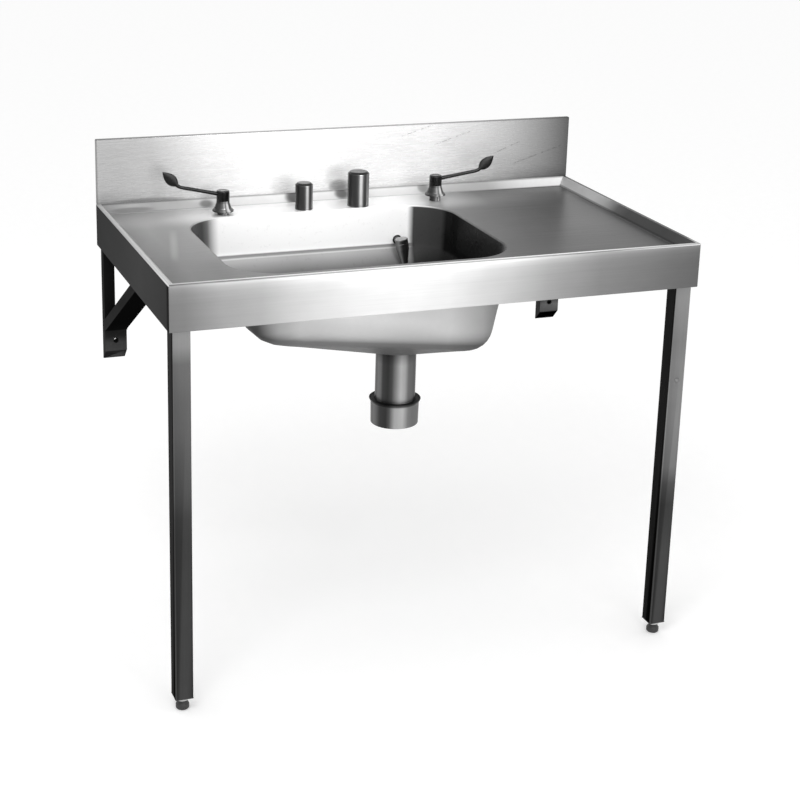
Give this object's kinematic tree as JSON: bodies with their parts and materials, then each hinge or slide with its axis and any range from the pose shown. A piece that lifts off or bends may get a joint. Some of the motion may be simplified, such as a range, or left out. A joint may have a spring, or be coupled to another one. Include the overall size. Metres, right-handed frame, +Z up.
{
  "type": "bedpan sluice sink",
  "caption": "Stainless steel sluice sink with a deep left-hand bowl, drainer, splashback, elbow lever valves, front legs and wall brackets.",
  "frame": {"origin": "on the floor, under the middle of the worktop's outline", "axes": "+X along the worktop to the right as seen from the front, +Y towards the wall, +Z up"},
  "size_m": [1.15, 0.66, 1.065],
  "materials": {
    "worktop_steel": "satin stainless steel, brushed along the worktop",
    "upstand_steel": "satin stainless steel, brushed along the upstand",
    "bowl_steel": "pressed and polished stainless steel",
    "tube_steel": "satin stainless steel tube",
    "bracket_steel": "dull stainless steel tube, welded",
    "fixing_steel": "plain stainless steel",
    "chrome": "polished chrome plate",
    "brass": "cast and turned brass",
    "copper": "drawn copper tube",
    "rubber": "black moulded rubber",
    "pad": "black bitumen-rubber sheet",
    "foot_plastic": "grey moulded nylon",
    "float_plastic": "white moulded acetal",
    "collar_metal": "satin steel sleeve"
  },
  "bodies": {
    "sink": {"worktop": "worktop_steel", "upstand": "upstand_steel", "bowl": "bowl_steel", "front_rail": "tube_steel", "deadening_pad": "pad", "earth_tag": "brass", "left_leg_socket": "tube_steel", "right_leg_socket": "tube_steel", "left_leg": "tube_steel", "right_leg": "tube_steel", "leg_bolts": "fixing_steel", "leg_side_screw": "fixing_steel", "left_leg_plug": "foot_plastic", "right_leg_plug": "foot_plastic", "foot_locknuts": "fixing_steel", "left_arm": "bracket_steel", "right_arm": "bracket_steel", "left_post": "bracket_steel", "right_post": "bracket_steel", "left_brace": "bracket_steel", "right_brace": "bracket_steel", "arm_bolts": "fixing_steel", "left_valve_body": "brass", "left_valve_washer": "rubber", "left_valve_nut": "chrome", "left_valve_cover": "chrome", "right_valve_body": "brass", "right_valve_washer": "rubber", "right_valve_nut": "chrome", "right_valve_cover": "chrome", "small_breaker_body": "brass", "small_breaker_washer": "rubber", "small_breaker_nut": "brass", "small_breaker_cap": "chrome", "large_breaker_body": "brass", "large_breaker_washer": "rubber", "large_breaker_nut": "brass", "large_breaker_cap": "chrome", "left_feed_pipe": "copper", "right_feed_pipe": "copper", "mixing_tee": "brass", "small_outlet_pipe": "copper", "jet_pipe": "copper", "spray_jet": "chrome", "pipe_nuts": "brass", "outlet_pipe": "bowl_steel", "coupling_seal": "rubber", "coupling_collar": "collar_metal"},
    "left_lever_set": {"left_lever": "chrome", "left_lever_screw": "chrome", "left_valve_spindle": "brass"},
    "right_lever_set": {"right_lever": "chrome", "right_lever_screw": "chrome", "right_valve_spindle": "brass"},
    "left_foot": {"left_foot": "foot_plastic"},
    "right_foot": {"right_foot": "foot_plastic"},
    "small_float": {"small_breaker_float": "float_plastic"},
    "large_float": {"large_breaker_float": "float_plastic"},
    "grate": {"waste_grate": "fixing_steel"}
  },
  "joints": [
    {"name": "left_lever_turn", "type": "hinge", "parent": "sink", "child": "left_lever_set", "pos_m": [-0.309, 0.242, 0.95], "axis": [0, 0, 1], "range_deg": [0, 90]},
    {"name": "right_lever_turn", "type": "hinge", "parent": "sink", "child": "right_lever_set", "pos_m": [0.2, 0.242, 0.95], "axis": [0, 0, 1], "range_deg": [-90, 0]},
    {"name": "left_foot_screw", "type": "slide", "parent": "sink", "child": "left_foot", "axis": [0, 0, -1], "range_m": [0, 0.02]},
    {"name": "right_foot_screw", "type": "slide", "parent": "sink", "child": "right_foot", "axis": [0, 0, -1], "range_m": [0, 0.02]},
    {"name": "small_float_lift", "type": "slide", "parent": "sink", "child": "small_float", "axis": [0, 0, 1], "range_m": [0, 0.004]},
    {"name": "large_float_lift", "type": "slide", "parent": "sink", "child": "large_float", "axis": [0, 0, 1], "range_m": [0, 0.004]},
    {"name": "grate_lift", "type": "slide", "parent": "sink", "child": "grate", "axis": [0, 0, 1], "range_m": [0, 0.25]}
  ]
}
